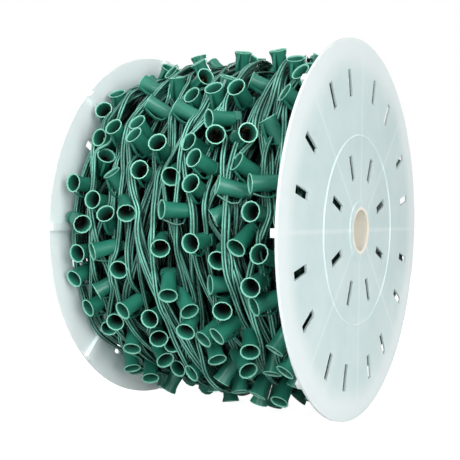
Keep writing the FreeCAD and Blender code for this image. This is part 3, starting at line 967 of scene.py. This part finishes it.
def bend_to_flange(corner, angle, side):
    """The cord's last bend, from a turn's end to the flange that it meets squarely."""
    heading = np.array([0, -math.sin(angle), math.cos(angle)])
    bend = np.radians(np.arange(75, -1, -15))[:, None]
    points = corner + side * end_bend * (
        heading * np.cos(bend) + np.array([1.0, 0, 0]) * (1 - np.sin(bend)))
    face = points[-1].copy()
    face[0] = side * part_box("outer_turns")[1].x
    return np.vstack([points, 0.5 * (points[-1] + face), face])


outer_points = np.vstack([
    bend_to_flange(turn_points[0], outer_angles[0], -1)[::-1],
    turn_points,
    bend_to_flange(turn_points[-1], outer_angles[-1], 1),
])
outer_facings = cord_facings(outer_points, slow_twist(len(outer_points), spread=0.2))
outer_cord = add_line("outer_cord", outer_points, outer_facings)
apply_tree(outer_cord, twin_cord, twin_cord_inputs, cord_values)
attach(outer_cord, "root")
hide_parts("outer_turns")


# Lamp sockets. Each is a green cup, moulded with a flared mouth and a thin clip strap. It sits
# on the cord, about one to each 0.3 m of it, and is held there by its cap.
socket_sides = 12


def join_rings(faces, start, rings, sides):
    """Adds the faces between a row of rings, numbered from start, and over both its ends."""
    for ring in range(rings - 1):
        faces += between_rings(start + ring * sides, start + (ring + 1) * sides, sides)
    faces.append(tuple(start + side for side in reversed(range(sides))))
    last = start + (rings - 1) * sides
    faces.append(tuple(last + side for side in range(sides)))


def add_turning(vertices, tones, faces, outline, sides):
    """Rings of corners about the Z axis from (radius, height, tone), closed at both ends."""
    start = len(vertices)
    for radius, height, tone in outline:
        for side in range(sides):
            angle = 2 * math.pi * side / sides
            vertices.append((radius * math.cos(angle), radius * math.sin(angle), height))
            tones.append(tone)
    join_rings(faces, start, len(outline), sides)


def add_bar(vertices, tones, faces, middle, half_width, half_thickness):
    """A flat strip along a line of (y, z) points, closed at both ends."""
    start = len(vertices)
    for index, (y, z) in enumerate(middle):
        before = middle[max(index - 1, 0)]
        after = middle[min(index + 1, len(middle) - 1)]
        run_y, run_z = after[0] - before[0], after[1] - before[1]
        length = math.hypot(run_y, run_z)
        normal = (run_z / length * half_thickness, -run_y / length * half_thickness)
        for across, out in ((-1, 1), (1, 1), (1, -1), (-1, -1)):
            vertices.append((across * half_width, y + out * normal[0], z + out * normal[1]))
            tones.append(0.5)
    join_rings(faces, start, len(middle), 4)


def spread_tree():
    """One copy of a pattern on each point, its Z axis outward and its Y axis along the cord."""
    tree, identifiers, group_in, group_out = start_tree("on_the_cord", {
        "Pattern": "NodeSocketObject",
        "Material": "NodeSocketMaterial",
    })
    given = group_in.outputs
    pattern = add_node(tree, "GeometryNodeObjectInfo", {"Object": given["Pattern"]})
    turning = add_node(tree, "FunctionNodeAxesToRotation", {
        "Primary Axis": named(tree, "facing"), "Secondary Axis": named(tree, "along"),
    }, primary_axis="Z", secondary_axis="Y")
    copies = add_node(tree, "GeometryNodeInstanceOnPoints", {
        "Points": given["Geometry"], "Instance": pattern.outputs["Geometry"],
        "Rotation": turning})
    end_tree(tree, copies, group_in, group_out)
    return tree, identifiers


spread, spread_inputs = spread_tree()
socket_angles, socket_places, socket_radii, _, _ = np.array(sockets).T
socket_feet = in_space(np.column_stack([socket_places, socket_angles, socket_radii]))
outwards = np.array([
    socket_direction(angle, lean, pitch) for angle, _, _, lean, pitch in sockets])
alongs = np.column_stack([
    np.zeros(len(sockets)), -np.sin(socket_angles), np.cos(socket_angles)])


def spread_form(name, form, material, node_family, smooth_angle=None):
    """One piece made of copies of a form along the cord, in place of a family of nodes."""
    vertices, tones, faces = form
    pattern = add_object(name + "_pattern", vertices, faces=faces)
    add_attribute(pattern, "tone", tones)
    piece = add_object(name, socket_feet.tolist())
    add_attribute(piece, "facing", outwards)
    add_attribute(piece, "along", alongs)
    apply_tree(piece, spread, spread_inputs, {"Pattern": pattern, "Material": material})
    if smooth_angle:
        piece.data.shade_smooth()
        piece.data.set_sharp_from_angle(angle=smooth_angle)
    bpy.data.objects.remove(pattern)
    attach(piece, "root")
    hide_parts(*[f"{node_family}_{group}" for group in socket_groups])


# Painted highlight colour along a socket's rim.
rim_highlight_green = (0.24, 0.62, 0.47)
# Painted shade colour, deep inside a cup.
cup_shade_dark = (0.002, 0.006, 0.005)


def make_moulding_material(name, low, high, roughness):
    """Glossy moulded green, with painted shade inside a cup and a painted highlight on its rim.
    """
    material, tree, shader, place = start_material(name, roughness)
    tone = add_node(tree, "ShaderNodeAttribute", {}, attribute_name="tone").outputs["Fac"]
    drift = add_noise(tree, place, scale=30, detail=3)
    green = add_ramp(tree, drift, 0.35, 0.7, low, high)
    # Painted shade down inside the cup.
    inside_shade = add_smooth_step(tree, tone, 0.42, 0.12)
    shaded = add_mix(tree, inside_shade, green, cup_shade_dark)
    # Painted highlight along the rim of the cup's mouth.
    rim_highlight = add_smooth_step(tree, tone, 0.65, 0.95)
    tree.links.new(add_mix(tree, rim_highlight, shaded, rim_highlight_green), shader.inputs["Base Color"])
    tree.links.new(
        add_math(tree, "MULTIPLY_ADD", inside_shade, 0.5, roughness), shader.inputs["Roughness"])
    grain = add_noise(tree, place, scale=500, detail=3)
    add_bump(tree, shader, grain, strength=0.15, distance=0.0003)
    return material


socket_green = make_moulding_material(
    "socket_green", low=(0.011, 0.135, 0.090), high=(0.026, 0.210, 0.145), roughness=0.34)
strap_line = [
    (0.0070, 0.0039), (0.0118, 0.0060), (0.0136, 0.0120), (0.0122, 0.0185), (0.0092, 0.0262),
]
strap_half_width = 0.0013
strap_half_thickness = 0.0006
cup = [], [], []
# Each ring's third number sets the painted light: painted shade at 0 deep in the cup, painted
# highlight at 1 on the rim.
add_turning(*cup, [
    (0.0074, 0.0027, 0.5), (0.0079, 0.0225, 0.5), (0.0094, 0.0272, 0.6),
    (0.0095, socket_height, 1.0), (0.0085, socket_height, 1.0), (0.0078, 0.0250, 0.36),
    (0.0062, 0.0060, 0.0),
], socket_sides)
add_bar(*cup, strap_line, strap_half_width, strap_half_thickness)
spread_form("socket_cups", cup, socket_green, "socket_bodies",
            smooth_angle=math.radians(50))


# Socket caps. A flat green moulding under the cord, which snaps onto each socket from below
# and clamps the cord in it.
cap_green = make_moulding_material(
    "cap_green", low=(0.016, 0.135, 0.093), high=(0.032, 0.200, 0.142), roughness=0.38)
cap_half_width = 0.0060
cap_half_length = 0.0085
cap = [], [], []
add_turning(*cap, [
    (0.0060, -0.0047, 0.5), (0.0086, -0.0040, 0.5), (0.0092, -0.0022, 0.5),
    (0.0092, 0.0027, 0.5),
], socket_sides)
cap[0][:] = [
    (min(max(x, -cap_half_length), cap_half_length),
     min(max(y, -cap_half_width), cap_half_width), z)
    for x, y, z in cap[0]
]
spread_form("socket_caps", cap, cap_green, "socket_caps",
            smooth_angle=math.radians(40))


# Contacts. Two bent brass strips in each socket, one along its wall and one on its floor. They
# are pushed in from below, and each pierces one of the cord's wires.
brass_dull = (0.16, 0.11, 0.05)
brass_bright = (0.40, 0.30, 0.16)
brass, brass_tree, brass_shader, brass_place = start_material("contact_brass", roughness=0.3)
tarnish = add_noise(brass_tree, brass_place, scale=400, detail=3)
brass_tree.links.new(
    add_ramp(brass_tree, tarnish, 0.35, 0.7, brass_dull, brass_bright),
    brass_shader.inputs["Base Color"])
brass_shader.inputs["Metallic"].default_value = 1.0
contact_half_width = 0.0015
contact_half_thickness = 0.0003
for name, line in (
    ("side_contacts", [(-0.0058, 0.0062), (-0.0061, 0.0120), (-0.0066, 0.0180)]),
    ("centre_contacts", [(-0.0025, 0.0062), (0.0, 0.0076), (0.0025, 0.0062)]),
):
    contact = [], [], []
    add_bar(*contact, line, contact_half_width, contact_half_thickness)
    spread_form(name, contact, brass, name)


# Floor and light. A plain pale floor that keeps the reel's shadow and fades to white, under
# level studio light: a tall lamp above the camera, wide lamps at both sides and behind the
# reel, and a pale room.
floor_height = cad_box[0].z - 0.0005
floor_reach = 12.0
floor_grey = (0.60, 0.60, 0.60, 1)
floor_glow = 0.93
room_light = 0.20

floor = add_object("floor", [
    (across * floor_reach, along * floor_reach, floor_height)
    for across, along in ((-1, -1), (1, -1), (1, 1), (-1, 1))
], faces=[(0, 1, 2, 3)])
floor_material, floor_tree, floor_shader, _ = start_material("floor_white", roughness=0.9)
floor_shader.inputs["Base Color"].default_value = floor_grey
floor_shader.inputs["Specular IOR Level"].default_value = 0.0
floor_rays = add_node(floor_tree, "ShaderNodeLightPath", {}).outputs
floor_shader.inputs["Emission Color"].default_value = (1, 1, 1, 1)
floor_tree.links.new(
    add_math(floor_tree, "MULTIPLY", floor_rays["Is Camera Ray"], floor_glow),
    floor_shader.inputs["Emission Strength"])
floor.data.materials.append(floor_material)

world = bpy.data.worlds.new("studio")
world.use_nodes = True
bpy.context.scene.world = world
room = world.node_tree
room_rays = add_node(room, "ShaderNodeLightPath", {}).outputs
sight_line = add_node(room, "ShaderNodeTexCoord", {}).outputs["Generated"]
sight_parts = add_node(room, "ShaderNodeSeparateXYZ", {0: sight_line}).outputs
to_the_side = add_smooth_step(room, add_math(room, "ABSOLUTE", sight_parts["Y"]), 0.8, 0.3)
seen = add_math(
    room, "MAXIMUM", room_rays["Is Camera Ray"],
    add_math(room, "MAXIMUM", room_rays["Is Transmission Ray"],
             add_math(room, "MULTIPLY", room_rays["Is Glossy Ray"], to_the_side)))
background = room.nodes["Background"]
background.inputs["Color"].default_value = (1, 1, 1, 1)
room.links.new(
    add_math(room, "MULTIPLY_ADD", seen, 1.0 - room_light, room_light),
    background.inputs["Strength"])

for name, place, width, height, power in (
    ("key_lamp", (0.15, -1.65, 0.95), 0.30, 1.6, 28),
    ("side_lamp", (1.75, -0.95, 0.45), 1.3, 1.3, 29),
    ("back_lamp", (0.0, 1.9, 0.6), 0.4, 1.6, 31),
    ("left_lamp", (-1.9, 0.0, 0.4), 1.3, 1.3, 21),
):
    lamp = bpy.data.lights.new(name, "AREA")
    lamp.shape, lamp.size, lamp.size_y, lamp.energy = "RECTANGLE", width, height, power
    lamp_object = bpy.data.objects.new(name, lamp)
    lamp_object.location = place
    lamp_object.rotation_mode = "QUATERNION"
    lamp_object.rotation_quaternion = (-Vector(place)).to_track_quat("-Z", "Y")
    bpy.context.scene.collection.objects.link(lamp_object)


# Camera. It stands nearly level with the bore, to the right of the winding's front, so that
# the right flange shows its outer face and the left one its inner face.
camera_data = bpy.data.cameras.new("camera")
camera_data.lens = 60.8
camera_data.sensor_width = 36.0
camera = bpy.data.objects.new("camera", camera_data)
camera.location = (0.4157, -0.7868, 0.0164)
camera.rotation_mode = "QUATERNION"
sight = Vector((-0.4938, 0.8693, -0.0218))
roll = math.radians(0.87)
camera.rotation_quaternion = sight.to_track_quat("-Z", "Y") @ Quaternion((0, 0, 1), roll)
bpy.context.scene.collection.objects.link(camera)
bpy.context.scene.camera = camera
bpy.context.scene.view_settings.view_transform = "Standard"
